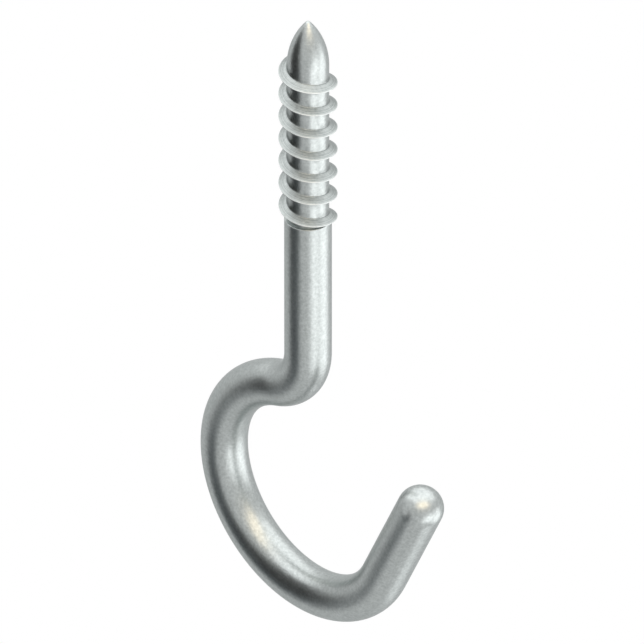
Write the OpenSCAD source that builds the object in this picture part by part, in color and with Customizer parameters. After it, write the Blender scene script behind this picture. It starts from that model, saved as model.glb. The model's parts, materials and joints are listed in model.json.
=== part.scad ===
// Screw hook: one length of round steel wire, with a wood-screw thread on one end
// and an open hook on the other.
// The screw's axis is Z, with its point up. The origin is on that axis where the screw
// meets the shank's shoulder, which is flush with the ceiling once the hook is driven home.
// The hook lies in the XZ plane and opens towards +X.

/* [Wire] */
// Diameter of the wire that the shank, neck, bowl and arm are made of
wire_d = 4; // [3.8:0.1:6]

/* [Screw] */
// Length from the shank's shoulder to the tip of the point
screw_len = 20; // [12:0.5:50]
// Length of the point, where the core narrows to its tip
point_len = 4.55; // [2.5:0.05:8]
// Diameter of the core between the turns of the thread
core_d = 3.55; // [2.6:0.05:3.9]
// Diameter over the crest of the thread
thread_d = 4.95; // [4.2:0.05:6.2]
// Rise of the thread in one turn
thread_pitch = 2.26; // [1.7:0.02:4]
// Angle between the two flanks of the thread
flank_angle = 60; // [30:1:75]
// Width of the flat on the thread's crest
crest_w = 0.1; // [0.04:0.01:0.4]
// Hand of the thread
thread_hand = "left"; // [left, right]
// Direction in which the thread runs out on the shank, in degrees from +X
run_out_dir = 155; // [0:1:360]

/* [Shank] */
// Length of the plain straight shank, from its shoulder to the neck
shank_len = 13.8; // [2:0.1:60]

/* [Hook] */
// Radius of the neck, which bends the wire off the axis, to the middle of the wire
neck_r = 5.15; // [3.1:0.05:12]
// Radius of the bowl, to the middle of the wire
bowl_r = 10; // [4:0.1:30]
// Lean of the arm, outwards from upright
arm_lean = 25; // [0:1:60]
// Straight length of the arm, up to its rounded end
arm_len = 10; // [1:0.1:40]

/* [Hidden] */
$fn = 96;
zinc_plate = [0.66, 0.68, 0.68];

wire_r = wire_d / 2;
core_r = core_d / 2;
thread_r = thread_d / 2;

// The point is a tangent ogive: an arc that leaves the core without a corner
core_len = screw_len - point_len;
ogive_r = (point_len * point_len + core_r * core_r) / (2 * core_r);

// The bowl is centred on the screw's axis, so neck and bowl meet at one angle
neck_turn = acos(neck_r / (neck_r + bowl_r));
bowl_drop = (neck_r + bowl_r) * sin(neck_turn);
bowl_turn = neck_turn + 180 - arm_lean;

// The bowl's end seats in the neck's, where its wire is slimmer by a hair
seat_hair = 0.0005;
seat_len = 0.02;
seated_r = wire_r - seat_hair;
seat_turn = seat_len / bowl_r * 180 / PI;

// The thread's ridge is rooted below the core's surface. It rises out of the core at the
// foot of the point, and sinks into the shank just under the shoulder
root_depth = 0.3;
run_in_sink = 0.1;
run_out_sink = 0.05;
run_in_above_core = 0.23;
run_out_below_shoulder = 0.54;
run_in_turns = 0.22;
run_out_turns = 0.3;
steps_per_turn = 40;
corners = 4;
root_r = min(core_r, wire_r) - root_depth;
run_in_r = core_r - run_in_sink;
run_out_r = min(thread_r, wire_r) - run_out_sink;
ridge_rise = core_len + run_in_above_core + run_out_below_shoulder;
ridge_turns = ridge_rise / thread_pitch;
ridge_steps = ceil(ridge_turns * steps_per_turn);
hand = thread_hand == "left" ? -1 : 1;

// Crest radius at t turns above the run-out
function crest_r(t) = min(
    thread_r,
    run_out_r + (thread_r - run_out_r) * t / run_out_turns,
    run_in_r + (thread_r - run_in_r) * (ridge_turns - t) / run_in_turns
);

// The ridge's section as [radius, height] corners: lower root, lower crest, upper crest, upper root
function ridge_section(crest) =
    let (half_root = crest_w / 2 + (crest - root_r) * tan(flank_angle / 2))
    [[root_r, -half_root], [crest, -crest_w / 2], [crest, crest_w / 2], [root_r, half_root]];

// Places a section's corners on the helix, at t turns above the run-out
function ridge_ring(t) =
    let (turn = run_out_dir + hand * 360 * t, z = t * thread_pitch - run_out_below_shoulder)
    [for (corner = ridge_section(crest_r(t))) [corner.x * cos(turn), corner.x * sin(turn), z + corner.y]];

// Corner k of ring i in the list of points, where the corner after the last is the first again
function ridge_corner(i, k) = corners * i + k % corners;

// Joins side k of ring i to the next ring
function ridge_side(i, k) =
    [ridge_corner(i, k), ridge_corner(i, k + 1), ridge_corner(i + 1, k + 1), ridge_corner(i + 1, k)];

module thread_ridge() {
    // The rings always run anticlockwise, so a left-hand ridge is followed from the top down
    turns = [for (i = [0:ridge_steps]) ridge_turns * (hand > 0 ? i : ridge_steps - i) / ridge_steps];
    polyhedron(
        points = [for (t = turns) each ridge_ring(t)],
        faces = [
            [for (k = [corners - 1:-1:0]) ridge_corner(0, k)],
            for (i = [0:ridge_steps - 1], k = [0:corners - 1]) ridge_side(i, k),
            [for (k = [0:corners - 1]) ridge_corner(ridge_steps, k)]
        ]
    );
}

// Shank, shoulder, core and point, turned about the screw's axis
module screw_blank() {
    rotate_extrude() {
        translate([0, -shank_len]) square([wire_r, shank_len]);
        square([core_r, core_len]);
        translate([0, core_len]) intersection() {
            translate([core_r - ogive_r, 0]) circle(r = ogive_r);
            square([core_r, point_len]);
        }
    }
}

// A bend of round wire in the XZ plane: from the foot of a straight at [radius, 0, 0] it turns
// down and back about the origin
module wire_bend(radius, turn, wire) {
    rotate([-90, 0, 0]) rotate_extrude(angle = turn) translate([radius, 0]) circle(r = wire);
}

// The straight arm with its full-round end
module arm() {
    rotate_extrude() {
        square([seated_r, arm_len]);
        translate([0, arm_len]) intersection() {
            circle(r = seated_r);
            square(seated_r);
        }
    }
}

module screw_hook() {
    color(zinc_plate) {
        thread_ridge();
        screw_blank();
        translate([-neck_r, 0, -shank_len]) wire_bend(neck_r, neck_turn, wire_r);
        translate([0, 0, -shank_len - bowl_drop]) rotate([0, arm_lean, 0]) {
            wire_bend(bowl_r, bowl_turn + seat_turn, seated_r);
            translate([bowl_r, 0, 0]) arm();
        }
    }
}

screw_hook();
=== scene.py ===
import json
import math

import bmesh
import bpy
from mathutils import Matrix, Vector


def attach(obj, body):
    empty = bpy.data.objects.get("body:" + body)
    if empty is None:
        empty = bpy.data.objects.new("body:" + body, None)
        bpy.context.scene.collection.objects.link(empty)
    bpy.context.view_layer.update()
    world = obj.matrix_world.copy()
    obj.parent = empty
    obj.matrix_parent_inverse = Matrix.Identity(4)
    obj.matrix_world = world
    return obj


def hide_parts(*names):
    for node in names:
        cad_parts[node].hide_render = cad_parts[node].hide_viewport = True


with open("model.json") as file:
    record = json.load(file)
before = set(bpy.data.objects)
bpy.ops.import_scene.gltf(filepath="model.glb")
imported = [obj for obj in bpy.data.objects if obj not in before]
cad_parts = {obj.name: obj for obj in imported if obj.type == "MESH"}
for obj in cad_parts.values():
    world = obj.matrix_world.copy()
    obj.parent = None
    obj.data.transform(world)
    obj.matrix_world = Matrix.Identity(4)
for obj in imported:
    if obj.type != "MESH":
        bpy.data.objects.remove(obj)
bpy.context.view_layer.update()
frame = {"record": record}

# Sizes that the frame gives, in metres
MM = 0.001
mounts = {mount["name"]: mount for mount in frame["record"]["mounts"]}
thread_mount = mounts["screw_thread"]
arm_mount = mounts["hook_arm"]
THREAD_R = thread_mount["dims"]["r_mm"] * MM
SCREW_LEN = thread_mount["dims"]["length_mm"] * MM
WIRE_R = arm_mount["dims"]["r_mm"] * MM
ARM_LEN = arm_mount["dims"]["length_mm"] * MM
ARM_DIR = Vector(arm_mount["axis"])
ARM_FOOT = Vector(arm_mount["pos_m"]) - ARM_DIR * ARM_LEN / 2

# The bowl is centred on the screw's axis, and the arm leaves it along a tangent
BOWL_R = ARM_FOOT.x / ARM_DIR.z
BOWL_CENTRE = Vector((0, 0, ARM_FOOT.z + BOWL_R * ARM_DIR.x))
ARM_LEAN = math.atan2(ARM_DIR.x, ARM_DIR.z)

# The neck bends the wire off the axis and into the bowl
NECK_R = 5.15 * MM
NECK_TURN = math.acos(NECK_R / (NECK_R + BOWL_R))
SHANK_LEN = -BOWL_CENTRE.z - (NECK_R + BOWL_R) * math.sin(NECK_TURN)
NECK_CENTRE = Vector((-NECK_R, 0, -SHANK_LEN))
BOWL_TURN = NECK_TURN + math.pi - ARM_LEAN

# The screw's core and its point, a tangent ogive with a worn tip
CORE_R = 1.775 * MM
POINT_LEN = 4.55 * MM
CORE_LEN = SCREW_LEN - POINT_LEN
OGIVE_R = (POINT_LEN ** 2 + CORE_R ** 2) / (2 * CORE_R)
TIP_R = 0.2 * MM
TIP_RINGS = 6
RIM_CHAMFER = 0.03 * MM

# The rolled thread: a left-hand ridge that rises out of the core below the point and sinks
# into the shank under the shoulder
PITCH = 2.26 * MM
CREST_ROUND = 0.05 * MM
FLANK_ANGLE = math.radians(26)
ROOT_ROUND = 0.18 * MM
ROOT_SINK = 0.01 * MM
ROOT_DEPTH = 0.3 * MM
ROOT_R = CORE_R - ROOT_DEPTH
RUN_OUT_DIR = math.radians(155)
RUN_OUT_BELOW_SHOULDER = 0.54 * MM
RUN_OUT_SINK = 0.05 * MM
RUN_OUT_R = WIRE_R - RUN_OUT_SINK
RUN_OUT_TURNS = 0.3
RUN_IN_ABOVE_CORE = 0.23 * MM
RUN_IN_SINK = 0.1 * MM
RUN_IN_R = CORE_R - RUN_IN_SINK
RUN_IN_TURNS = 0.22
RIDGE_TURNS = (CORE_LEN + RUN_IN_ABOVE_CORE + RUN_OUT_BELOW_SHOULDER) / PITCH

# How finely the round forms are divided, and what is smoothed and merged
WIRE_SIDES = 128
RING_STEP = 0.5 * MM
BEND_STEP = math.radians(2.5)
END_RINGS = 20
POINT_RINGS = 28
STEPS_PER_TURN = 96
CREST_STEPS = 6
ROOT_STEPS = 6
SMOOTH_ANGLE = math.radians(35)
MERGE_DISTANCE = 0.0005 * MM


def select_where(mesh, test):
    """Selects the vertices in edit mode whose place or number passes the test, and nothing else."""
    bpy.ops.mesh.select_all(action="DESELECT")
    edit = bmesh.from_edit_mesh(mesh)
    for vertex in edit.verts:
        vertex.select_set(test(vertex))
    edit.select_flush(True)
    bmesh.update_edit_mesh(mesh)


def extrude(step):
    bpy.ops.mesh.extrude_region_move(TRANSFORM_OT_translate={"value": step})


def run_straight(direction, length):
    """Draws the selected ring out along a straight, in even steps."""
    steps = math.ceil(length / RING_STEP)
    for _ in range(steps):
        extrude(direction * length / steps)


def bend(turn, centre, axis):
    """Draws the selected ring round a bend."""
    bpy.ops.mesh.spin(steps=math.ceil(turn / BEND_STEP), angle=turn, center=centre, axis=axis)


def round_end(centre):
    """Closes the selected ring with a half ball, ring by ring up to its pole."""
    for ring in range(1, END_RINGS + 1):
        last = math.pi / 2 * (ring - 1) / END_RINGS
        now = math.pi / 2 * ring / END_RINGS
        extrude(ARM_DIR * WIRE_R * (math.sin(now) - math.sin(last)))
        if ring < END_RINGS:
            factor = math.cos(now) / math.cos(last)
            at = centre + ARM_DIR * WIRE_R * math.sin(now)
            bpy.ops.transform.resize(value=(factor,) * 3, center_override=at)
    bpy.ops.mesh.merge(type="CENTER")


def turned_rings():
    """The turned end's rings from the shank's rim to the tip, as radius and height."""
    shoulder = [(WIRE_R - RIM_CHAMFER, 0), (CORE_R, 0)]
    core_rings = math.ceil(CORE_LEN / RING_STEP)
    core = [(CORE_R, CORE_LEN * ring / core_rings) for ring in range(1, core_rings + 1)]
    sweep = math.acos(1 - (CORE_R - TIP_R) / OGIVE_R)
    slopes = [sweep * ring / POINT_RINGS for ring in range(1, POINT_RINGS + 1)]
    point = [(CORE_R - OGIVE_R * (1 - math.cos(a)), CORE_LEN + OGIVE_R * math.sin(a)) for a in slopes]
    ball = TIP_R / math.cos(sweep)
    ball_z = point[-1][1] - ball * math.sin(sweep)
    slopes = [sweep + (math.pi / 2 - sweep) * ring / TIP_RINGS for ring in range(1, TIP_RINGS)]
    tip = [(ball * math.cos(a), ball_z + ball * math.sin(a)) for a in slopes]
    return shoulder + core + point + tip + [(0, ball_z + ball)]


def make_wire():
    """The bent wire with its turned end, as one closed skin."""
    bpy.ops.object.select_all(action="DESELECT")
    bpy.ops.mesh.primitive_circle_add(vertices=WIRE_SIDES, radius=WIRE_R, location=(0, 0, -RIM_CHAMFER))
    wire = bpy.context.object
    wire.name = wire.data.name = "screw_hook_body"
    bpy.ops.object.transform_apply()
    bpy.ops.object.mode_set(mode="EDIT")
    bpy.ops.mesh.select_all(action="SELECT")
    run_straight(Vector((0, 0, -1)), SHANK_LEN - RIM_CHAMFER)
    bend(NECK_TURN, NECK_CENTRE, (0, -1, 0))
    bend(BOWL_TURN, BOWL_CENTRE, (0, 1, 0))
    run_straight(ARM_DIR, ARM_LEN)
    round_end(ARM_FOOT + ARM_DIR * ARM_LEN)

    select_where(wire.data, lambda vertex: vertex.co.z > -RIM_CHAMFER - MERGE_DISTANCE)
    radius, height = WIRE_R, -RIM_CHAMFER
    for next_radius, next_height in turned_rings():
        factor = next_radius / radius
        extrude((0, 0, next_height - height))
        bpy.ops.transform.resize(value=(factor, factor, 1), center_override=(0, 0, next_height))
        radius, height = next_radius, next_height
    bpy.ops.mesh.merge(type="CENTER")
    bpy.ops.object.mode_set(mode="OBJECT")
    return wire


def crest_share(turns):
    """How much of its full height the ridge has, at so many turns above the run-out."""
    crest = min(
        THREAD_R,
        RUN_OUT_R + (THREAD_R - RUN_OUT_R) * turns / RUN_OUT_TURNS,
        RUN_IN_R + (THREAD_R - RUN_IN_R) * (RIDGE_TURNS - turns) / RUN_IN_TURNS,
    )
    return (crest - ROOT_R) / (THREAD_R - ROOT_R)


def ridge_section():
    """The ridge's outline from its lower root over its crest to its upper root, as radius and height."""
    crest = []
    for step in range(CREST_STEPS + 1):
        angle = (math.pi / 2 - FLANK_ANGLE) * (2 * step / CREST_STEPS - 1)
        crest.append((THREAD_R - CREST_ROUND * (1 - math.cos(angle)), CREST_ROUND * math.sin(angle)))
    edge_r, edge_z = crest[-1]
    round_r = CORE_R - ROOT_SINK + ROOT_ROUND
    flank = (edge_r + ROOT_ROUND * math.sin(FLANK_ANGLE) - round_r) / math.cos(FLANK_ANGLE)
    round_z = edge_z + flank * math.sin(FLANK_ANGLE) + ROOT_ROUND * math.cos(FLANK_ANGLE)
    upper = []
    for step in range(ROOT_STEPS + 1):
        angle = (math.pi / 2 - FLANK_ANGLE) * (1 - step / ROOT_STEPS)
        upper.append((round_r - ROOT_ROUND * math.cos(angle), round_z - ROOT_ROUND * math.sin(angle)))
    upper.append((ROOT_R, round_z))
    lower = [(radius, -height) for radius, height in reversed(upper)]
    return lower + crest + upper


def make_ridge():
    """The thread's ridge: one section swept up a left-hand helix and sunk away at both ends."""
    section = [Vector((radius, 0, height)) for radius, height in ridge_section()]
    corners = len(section)
    bpy.ops.object.select_all(action="DESELECT")
    bpy.ops.mesh.primitive_plane_add(size=1)
    ridge = bpy.context.object
    bpy.ops.object.mode_set(mode="EDIT")
    bpy.ops.mesh.select_all(action="SELECT")
    bpy.ops.mesh.merge(type="CENTER")
    bpy.ops.transform.translate(value=section[0])
    for last, corner in zip(section, section[1:]):
        bpy.ops.mesh.extrude_vertices_move(TRANSFORM_OT_translate={"value": corner - last})
    select_where(ridge.data, lambda vertex: vertex.index in (0, corners - 1))
    bpy.ops.mesh.edge_face_add()
    bpy.ops.object.mode_set(mode="OBJECT")

    bpy.ops.object.modifier_add(type="SCREW")
    sweep = ridge.modifiers[-1]
    sweep.angle = -2 * math.pi * RIDGE_TURNS
    sweep.screw_offset = RIDGE_TURNS * PITCH
    sweep.steps = sweep.render_steps = round(RIDGE_TURNS * STEPS_PER_TURN)
    bpy.ops.object.modifier_apply(modifier=sweep.name)

    bpy.ops.object.mode_set(mode="EDIT")
    last_ring = len(ridge.data.vertices) // corners - 1
    for ring in range(last_ring + 1):
        turns = RIDGE_TURNS * ring / last_ring
        share = crest_share(turns)
        if share < 1:
            angle = -2 * math.pi * turns
            root = (ROOT_R * math.cos(angle), ROOT_R * math.sin(angle), turns * PITCH)
            select_where(ridge.data, lambda vertex: vertex.index // corners == ring)
            bpy.ops.transform.resize(value=(share,) * 3, center_override=root)
    for ring in (0, last_ring):
        select_where(ridge.data, lambda vertex: vertex.index // corners == ring)
        bpy.ops.mesh.edge_face_add()
    bpy.ops.mesh.select_all(action="SELECT")
    bpy.ops.mesh.normals_make_consistent(inside=False)
    bpy.ops.object.mode_set(mode="OBJECT")
    ridge.rotation_euler.z = RUN_OUT_DIR
    ridge.location.z = -RUN_OUT_BELOW_SHOULDER
    bpy.ops.object.transform_apply()
    return ridge


def unite(wire, ridge):
    """Makes the ridge one skin with the wire."""
    bpy.ops.object.select_all(action="DESELECT")
    wire.select_set(True)
    bpy.context.view_layer.objects.active = wire
    bpy.ops.object.modifier_add(type="BOOLEAN")
    union = wire.modifiers[-1]
    union.operation = "UNION"
    union.solver = "EXACT"
    union.material_mode = "TRANSFER"
    union.object = ridge
    bpy.ops.object.modifier_apply(modifier=union.name)
    bpy.data.objects.remove(ridge)
    bpy.ops.object.mode_set(mode="EDIT")
    bpy.ops.mesh.select_all(action="SELECT")
    bpy.ops.mesh.remove_doubles(threshold=MERGE_DISTANCE)
    bpy.ops.mesh.normals_make_consistent(inside=False)
    bpy.ops.object.mode_set(mode="OBJECT")
    bpy.ops.object.shade_smooth_by_angle(angle=SMOOTH_ANGLE)


def linear(hex_colour):
    """An sRGB hex colour as the linear colour that a socket takes."""
    channels = [int(hex_colour[i:i + 2], 16) / 255 for i in (1, 3, 5)]
    return [c / 12.92 if c <= 0.04045 else ((c + 0.055) / 1.055) ** 2.4 for c in channels] + [1]


def add_node(tree, kind, settings=None, links=None):
    """Adds a node. Lower-case settings are its own, the others and the links go to its sockets."""
    node = tree.nodes.new(kind)
    for name, value in (settings or {}).items():
        if isinstance(name, str) and name.islower():
            setattr(node, name, value)
        else:
            node.inputs[name].default_value = value
    for name, source in (links or {}).items():
        tree.links.new(source, node.inputs[name])
    return node


# The Mix node gives several sockets the same name, so its colour sockets go by number
MIX_FACTOR = 0
MIX_FIRST = 6
MIX_SECOND = 7
MIX_OUT = 2


def new_material(name):
    material = bpy.data.materials.new(name)
    material.use_nodes = True
    material.node_tree.nodes.clear()
    return material


# Bright zinc on drawn steel wire: a cool grey metal, satin and not mirror-like, with a fine
# crystalline grain that breaks up the edges of its highlights
GRAIN = 0.24 * MM
GRAIN_DEPTH = 0.011 * MM
MOTTLE = 1.6 * MM
BRIGHT_TONES = ("#989D9C", "#B8BDBC")
# Painted shade: the ridge takes a darker copy of the zinc's tones, for the shade between the thread's turns
RIDGE_SHADE_TONES = ("#7E8382", "#A9AEAD")
# Painted highlight: a lighter tone along the thread's crest
CREST_HIGHLIGHT_TONE = "#CCD0CF"
EDGE_TINT = "#DEE0E0"
WIRE_ROUGHNESS = (0.3, 0.4)
CORE_ROUGHNESS = (0.3, 0.36)
RIDGE_ROUGHNESS = (0.34, 0.46)
# Noise keeps to the middle of its range, and is spread from there
NOISE_SPREAD = {"From Min": 0.3, "From Max": 0.7}
# The die's lines and the rolls' rings are finer on a real hook: they are this wide so that they show
LINE_W = 0.17 * MM
LINE_LEN = 5 * MM
LINE_DEPTH = 0.003 * MM
LINE_SHARE = 0.25
RING_W = 0.08 * MM
CORE_RING_DEPTH = 0.004 * MM
CORE_RING_SHARE = 0.3
RIDGE_RING_DEPTH = 0.006 * MM
RIDGE_RING_SHARE = 0.6
# How far in from the crest the painted highlight reaches
CREST_HIGHLIGHT_WIDTH = 0.07 * MM


def straightened(point):
    """Where a point of the bent wire lay while the wire was straight: twice across it, and along it."""
    neck_end = -SHANK_LEN - NECK_R * NECK_TURN
    bowl_end = neck_end - BOWL_R * BOWL_TURN
    if point.z > -SHANK_LEN:
        return point
    from_neck = point - NECK_CENTRE
    neck_reach = math.hypot(from_neck.x, from_neck.z)
    neck_angle = math.atan2(-from_neck.z, from_neck.x)
    # The ring where the neck meets the bowl counts as the neck's
    if neck_reach < NECK_R + 2 * WIRE_R and neck_angle < NECK_TURN + BEND_STEP / 2:
        return Vector((neck_reach - NECK_R, point.y, -SHANK_LEN - NECK_R * neck_angle))
    from_arm = point - ARM_FOOT
    along_arm = from_arm.dot(ARM_DIR)
    if along_arm > 0 and point.x > 0:
        return Vector((from_arm.z * ARM_DIR.x - from_arm.x * ARM_DIR.z, point.y, bowl_end - along_arm))
    from_bowl = point - BOWL_CENTRE
    bowl_angle = (math.atan2(from_bowl.z, from_bowl.x) + NECK_TURN - math.pi) % (2 * math.pi)
    return Vector((BOWL_R - math.hypot(from_bowl.x, from_bowl.z), point.y, neck_end - BOWL_R * bowl_angle))


def mark_straight(piece):
    """Keeps that place on every point of the piece, for marks that follow the wire."""
    places = piece.data.attributes.new("straight_wire", "FLOAT_VECTOR", "POINT")
    for vertex, place in zip(piece.data.vertices, places.data):
        place.vector = straightened(vertex.co)


def zinc_plate(tree, place, marks, mark_depth, mark_share, tones, roughnesses):
    """The plated metal, from its dark to its light tone and its least to its most roughness. Its marks
    have a depth, and a share of its pattern. Gives the shader and the tone."""
    grain = add_node(
        tree, "ShaderNodeTexNoise", {"Scale": 1 / GRAIN, "Detail": 3, "Roughness": 0.6}, {"Vector": place}
    )
    mottle = add_node(tree, "ShaderNodeTexNoise", {"Scale": 1 / MOTTLE, "Detail": 4}, {"Vector": place})
    speckle = add_node(tree, "ShaderNodeMapRange", NOISE_SPREAD, {"Value": grain.outputs["Fac"]})
    pattern = add_node(
        tree, "ShaderNodeMix", {"Factor": mark_share}, {"A": speckle.outputs["Result"], "B": marks}
    )
    tone = add_node(
        tree,
        "ShaderNodeMix",
        {"data_type": "RGBA", MIX_FIRST: linear(tones[0]), MIX_SECOND: linear(tones[1])},
        {MIX_FACTOR: pattern.outputs["Result"]},
    )
    roughness = add_node(
        tree,
        "ShaderNodeMapRange",
        {"To Min": roughnesses[0], "To Max": roughnesses[1]},
        {"Value": mottle.outputs["Fac"]},
    )
    grain_bump = add_node(
        tree, "ShaderNodeBump", {"Distance": GRAIN_DEPTH}, {"Height": grain.outputs["Fac"]}
    )
    bump = add_node(
        tree,
        "ShaderNodeBump",
        {"Distance": mark_depth},
        {"Height": marks, "Normal": grain_bump.outputs["Normal"]},
    )
    shader = add_node(
        tree,
        "ShaderNodeBsdfPrincipled",
        {"Metallic": 1, "Specular Tint": linear(EDGE_TINT)},
        {
            "Base Color": tone.outputs[MIX_OUT],
            "Roughness": roughness.outputs["Result"],
            "Normal": bump.outputs["Normal"],
        },
    )
    add_node(tree, "ShaderNodeOutputMaterial", links={"Surface": shader.outputs["BSDF"]})
    return shader, tone


def zinc_plated_wire():
    """The drawn wire, with faint lines along it from the die."""
    material = new_material("zinc_plated_wire")
    tree = material.node_tree
    place = add_node(tree, "ShaderNodeTexCoord").outputs["Object"]
    straight = add_node(tree, "ShaderNodeAttribute", {"attribute_name": "straight_wire"})
    stretched = add_node(
        tree,
        "ShaderNodeMapping",
        {"Scale": (1 / LINE_W, 1 / LINE_W, 1 / LINE_LEN)},
        {"Vector": straight.outputs["Vector"]},
    )
    lines = add_node(
        tree, "ShaderNodeTexNoise", {"Scale": 1, "Detail": 2}, {"Vector": stretched.outputs["Vector"]}
    )
    zinc_plate(tree, place, lines.outputs["Fac"], LINE_DEPTH, LINE_SHARE, BRIGHT_TONES, WIRE_ROUGHNESS)
    return material


def zinc_plated_core():
    """The screw's core and point, with faint rings from the rolls."""
    material = new_material("zinc_plated_core")
    tree = material.node_tree
    place = add_node(tree, "ShaderNodeTexCoord").outputs["Object"]
    height = add_node(tree, "ShaderNodeVectorMath", {"operation": "MULTIPLY", 1: (0, 0, 1)}, {0: place})
    noise = add_node(
        tree, "ShaderNodeTexNoise", {"Scale": 1 / RING_W, "Detail": 1}, {"Vector": height.outputs["Vector"]}
    )
    rings = add_node(tree, "ShaderNodeMapRange", NOISE_SPREAD, {"Value": noise.outputs["Fac"]})
    marks = rings.outputs["Result"]
    zinc_plate(tree, place, marks, CORE_RING_DEPTH, CORE_RING_SHARE, BRIGHT_TONES, CORE_ROUGHNESS)
    return material


def zinc_plated_ridge():
    """The thread's ridge. The rolls leave its flanks matt and ringed. It is darker all over with painted
    shade, and its crest is lighter with a painted highlight.
    """
    material = new_material("zinc_plated_ridge")
    tree = material.node_tree
    place = add_node(tree, "ShaderNodeTexCoord").outputs["Object"]
    level = add_node(tree, "ShaderNodeVectorMath", {"operation": "MULTIPLY", 1: (1, 1, 0)}, {0: place})
    radius = add_node(tree, "ShaderNodeVectorMath", {"operation": "LENGTH"}, {0: level.outputs["Vector"]})
    noise = add_node(
        tree,
        "ShaderNodeTexNoise",
        {"noise_dimensions": "1D", "Scale": 1 / RING_W, "Detail": 1},
        {"W": radius.outputs["Value"]},
    )
    rings = add_node(tree, "ShaderNodeMapRange", NOISE_SPREAD, {"Value": noise.outputs["Fac"]})
    marks = rings.outputs["Result"]
    # Painted shade: the ridge is given the darker tones
    shader, tone = zinc_plate(
        tree, place, marks, RIDGE_RING_DEPTH, RIDGE_RING_SHARE, RIDGE_SHADE_TONES, RIDGE_ROUGHNESS
    )
    # Painted highlight: the outer edge of the crest is mixed to a lighter tone
    crest = add_node(
        tree,
        "ShaderNodeMapRange",
        {"From Min": THREAD_R - CREST_HIGHLIGHT_WIDTH, "From Max": THREAD_R},
        {"Value": radius.outputs["Value"]},
    )
    colour = add_node(
        tree,
        "ShaderNodeMix",
        {"data_type": "RGBA", MIX_SECOND: linear(CREST_HIGHLIGHT_TONE)},
        {MIX_FACTOR: crest.outputs["Result"], MIX_FIRST: tone.outputs[MIX_OUT]},
    )
    tree.links.new(colour.outputs[MIX_OUT], shader.inputs["Base Color"])
    return material


# The stage: a pale floor well below the hook, white all round, soft lamps, a black flag and a
# small white card that keeps the flag's reflection off the arm's end.
# A bearing is turned from +X towards +Y, a height is above the horizon, and both are in degrees
AIM = Vector((0, 0, -12 * MM))
ARM_END = ARM_FOOT + ARM_DIR * ARM_LEN
FLOOR_SIZE = 12
FLOOR_DROP = 1.2
CARD_SIDES = 64
PURE_WHITE = "#FFFFFF"
WARM_WHITE = "#FFE8C6"
PAPER_WHITE = "#EFEFEF"
FELT_GREY = "#545A5E"
FELT_BLACK = "#08090C"
# A lamp fades out between these shares of its half size
FADE_START = 0.7
FADE_END = 1.3
# How far down its half height the flag stops being black, and where it is grey
BLACK_START = -0.2
GREY_END = -0.6


def outward(bearing, height):
    """The direction with this bearing and height."""
    bearing, height = math.radians(bearing), math.radians(height)
    level = Vector((math.cos(bearing), math.sin(bearing), 0))
    return level * math.cos(height) + Vector((0, 0, math.sin(height)))


def rightward(bearing):
    """The level direction to the right of someone who looks in from this bearing."""
    bearing = math.radians(bearing)
    return Vector((-math.sin(bearing), math.cos(bearing), 0))


def face_hook(piece, target, bearing, height, roll, reach):
    """Hangs a lamp or a card at a distance from a place on the hook, facing that place."""
    away = outward(bearing, height)
    right = rightward(bearing)
    facing = Matrix((right, away.cross(right), away)).transposed()
    rolled = facing @ Matrix.Rotation(math.radians(roll), 3, "Z")
    piece.location = target + away * reach
    piece.rotation_euler = rolled.to_euler()
    piece.visible_camera = False


def soft_lamp(name, bearing, height, roll, reach, half_size, glow, colour=PURE_WHITE):
    """An oval soft lamp, brighter than the white round it by glow. It fades out about its half size."""
    bpy.ops.object.light_add(type="AREA")
    lamp = bpy.context.object
    lamp.name = lamp.data.name = name
    lamp.data.shape = "ELLIPSE"
    width, depth = [half * FADE_END for half in half_size]
    lamp.data.size, lamp.data.size_y = 2 * width, 2 * depth
    lamp.data.color = linear(colour)[:3]
    area = math.pi * width * depth
    lamp.data.energy = glow * math.pi * area
    lamp.data.use_nodes = True
    tree = lamp.data.node_tree
    # Places on the lamp's face run from 0 to 1 both ways
    face = add_node(tree, "ShaderNodeNewGeometry").outputs["Parametric"]
    spread = add_node(
        tree, "ShaderNodeVectorMath", {"operation": "DISTANCE", 1: (0.5, 0.5, 0)}, {0: face}
    )
    fade = add_node(
        tree,
        "ShaderNodeMapRange",
        {
            "interpolation_type": "SMOOTHSTEP",
            "From Min": FADE_START / FADE_END / 2,
            "From Max": 1 / 2,
            "To Min": 1,
            "To Max": 0,
        },
        {"Value": spread.outputs["Value"]},
    )
    tree.links.new(fade.outputs["Result"], tree.nodes["Emission"].inputs["Strength"])
    face_hook(lamp, AIM, bearing, height, roll, reach)


def oval_card(name, material, target, bearing, height, roll, reach, half_size):
    bpy.ops.object.select_all(action="DESELECT")
    bpy.ops.mesh.primitive_circle_add(vertices=CARD_SIDES, radius=1, fill_type="NGON")
    card = bpy.context.object
    card.name = name
    card.scale = (*half_size, 1)
    card.data.materials.append(material)
    face_hook(card, target, bearing, height, roll, reach)


def white_paper():
    """Plain white paper, which the camera and the metal see as pure white."""
    material = new_material("white_paper")
    tree = material.node_tree
    paper = add_node(
        tree, "ShaderNodeBsdfPrincipled", {"Base Color": linear(PAPER_WHITE), "Roughness": 0.9}
    )
    white = add_node(tree, "ShaderNodeEmission", {"Color": linear(PURE_WHITE), "Strength": 1})
    rays = add_node(tree, "ShaderNodeLightPath")
    mirrored = add_node(
        tree,
        "ShaderNodeMath",
        {"operation": "ADD"},
        {0: rays.outputs["Is Glossy Ray"], 1: rays.outputs["Is Transmission Ray"]},
    )
    seen = add_node(
        tree,
        "ShaderNodeMath",
        {"operation": "ADD", "use_clamp": True},
        {0: rays.outputs["Is Camera Ray"], 1: mirrored.outputs["Value"]},
    )
    mix = add_node(
        tree,
        "ShaderNodeMixShader",
        links={0: seen.outputs["Value"], 1: paper.outputs["BSDF"], 2: white.outputs["Emission"]},
    )
    add_node(tree, "ShaderNodeOutputMaterial", links={"Surface": mix.outputs["Shader"]})
    return material


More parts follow.
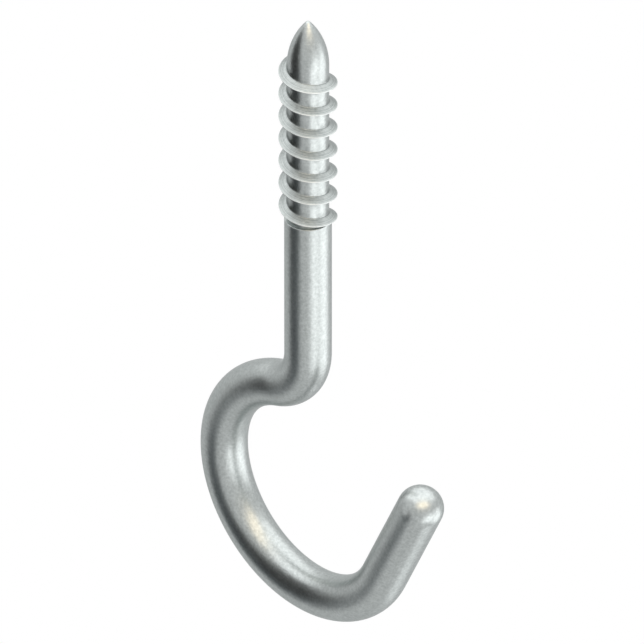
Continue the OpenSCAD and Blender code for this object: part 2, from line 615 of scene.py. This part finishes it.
def black_felt():
    """Black felt that greys out towards its lower end, where the metal sees it as a softer, blue dark."""
    material = new_material("black_felt")
    tree = material.node_tree
    card = add_node(tree, "ShaderNodeTexCoord").outputs["Object"]
    up = add_node(tree, "ShaderNodeSeparateXYZ", links={0: card})
    depth = add_node(
        tree,
        "ShaderNodeMapRange",
        {"interpolation_type": "SMOOTHSTEP", "From Min": GREY_END, "From Max": BLACK_START},
        {"Value": up.outputs["Y"]},
    )
    colour = add_node(
        tree,
        "ShaderNodeMix",
        {"data_type": "RGBA", MIX_FIRST: linear(FELT_GREY), MIX_SECOND: linear(FELT_BLACK)},
        {MIX_FACTOR: depth.outputs["Result"]},
    )
    felt = add_node(
        tree, "ShaderNodeBsdfPrincipled", {"Roughness": 1}, {"Base Color": colour.outputs[MIX_OUT]}
    )
    add_node(tree, "ShaderNodeOutputMaterial", links={"Surface": felt.outputs["BSDF"]})
    return material


def make_floor(paper):
    bpy.ops.object.select_all(action="DESELECT")
    bpy.ops.mesh.primitive_plane_add(size=FLOOR_SIZE, location=(0, 0, -FLOOR_DROP))
    floor = bpy.context.object
    floor.name = "floor"
    floor.data.materials.append(paper)


def hang_cards(paper):
    oval_card(
        "flag",
        black_felt(),
        target=AIM,
        bearing=-118,
        height=-7,
        roll=12,
        reach=95 * MM,
        half_size=(57 * MM, 97 * MM),
    )
    oval_card(
        "white_card",
        paper,
        target=ARM_END,
        bearing=-118,
        height=16,
        roll=-8,
        reach=9.5 * MM,
        half_size=(4 * MM, 7 * MM),
    )


def hang_lamps():
    soft_lamp(
        "lamp_low_front", bearing=-8, height=-24, roll=-54, reach=0.73, half_size=(0.21, 0.34), glow=1.79
    )
    soft_lamp(
        "lamp_low_right", bearing=39, height=-27, roll=-4, reach=0.94, half_size=(0.33, 0.44), glow=1.66
    )
    soft_lamp(
        "lamp_under", bearing=36, height=-72, roll=19, reach=0.23, half_size=(0.059, 0.016), glow=1.51
    )
    soft_lamp(
        "lamp_warm",
        bearing=-24,
        height=48,
        roll=-8,
        reach=0.46,
        half_size=(0.25, 0.12),
        glow=2.2,
        colour=WARM_WHITE,
    )
    soft_lamp(
        "lamp_back", bearing=135, height=73, roll=5, reach=0.094, half_size=(0.174, 0.096), glow=1.2
    )


def make_surround():
    world = bpy.data.worlds.new("white_surround")
    world.use_nodes = True
    background = world.node_tree.nodes["Background"]
    background.inputs["Color"].default_value = linear(PURE_WHITE)
    background.inputs["Strength"].default_value = 1
    bpy.context.scene.world = world


# The camera looks on from the photograph's corner, through a lens so long that the view is
# almost parallel
VIEW_BEARING = -45
VIEW_HEIGHT = math.degrees(math.atan(math.sqrt(0.5)))
LENS = 1600
SENSOR = 36
VIEW_WIDTH = 53.8 * MM
VIEW_RIGHT = 1.168 * MM
VIEW_UP = -8.78 * MM
VIEW_DEPTH = 20


def make_camera():
    back = outward(VIEW_BEARING, VIEW_HEIGHT)
    right = rightward(VIEW_BEARING)
    up = back.cross(right)
    data = bpy.data.cameras.new("camera")
    data.lens = LENS
    data.sensor_width = SENSOR
    data.clip_end = VIEW_DEPTH
    camera = bpy.data.objects.new("camera", data)
    bpy.context.scene.collection.objects.link(camera)
    camera.location = right * VIEW_RIGHT + up * VIEW_UP + back * VIEW_WIDTH * LENS / SENSOR
    camera.rotation_mode = "QUATERNION"
    camera.rotation_quaternion = back.to_track_quat("Z", "Y")
    bpy.context.scene.camera = camera


hook = make_wire()
hook.data.materials.append(zinc_plated_wire())
hook.data.materials.append(zinc_plated_core())
for face in hook.data.polygons:
    face.material_index = int(face.center.z > 0)
ridge = make_ridge()
ridge.data.materials.append(zinc_plated_ridge())
unite(hook, ridge)
mark_straight(hook)
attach(hook, "root")
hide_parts("screw_hook")
paper = white_paper()
make_floor(paper)
hang_cards(paper)
hang_lamps()
make_surround()
make_camera()
bpy.context.scene.view_settings.view_transform = "Standard"
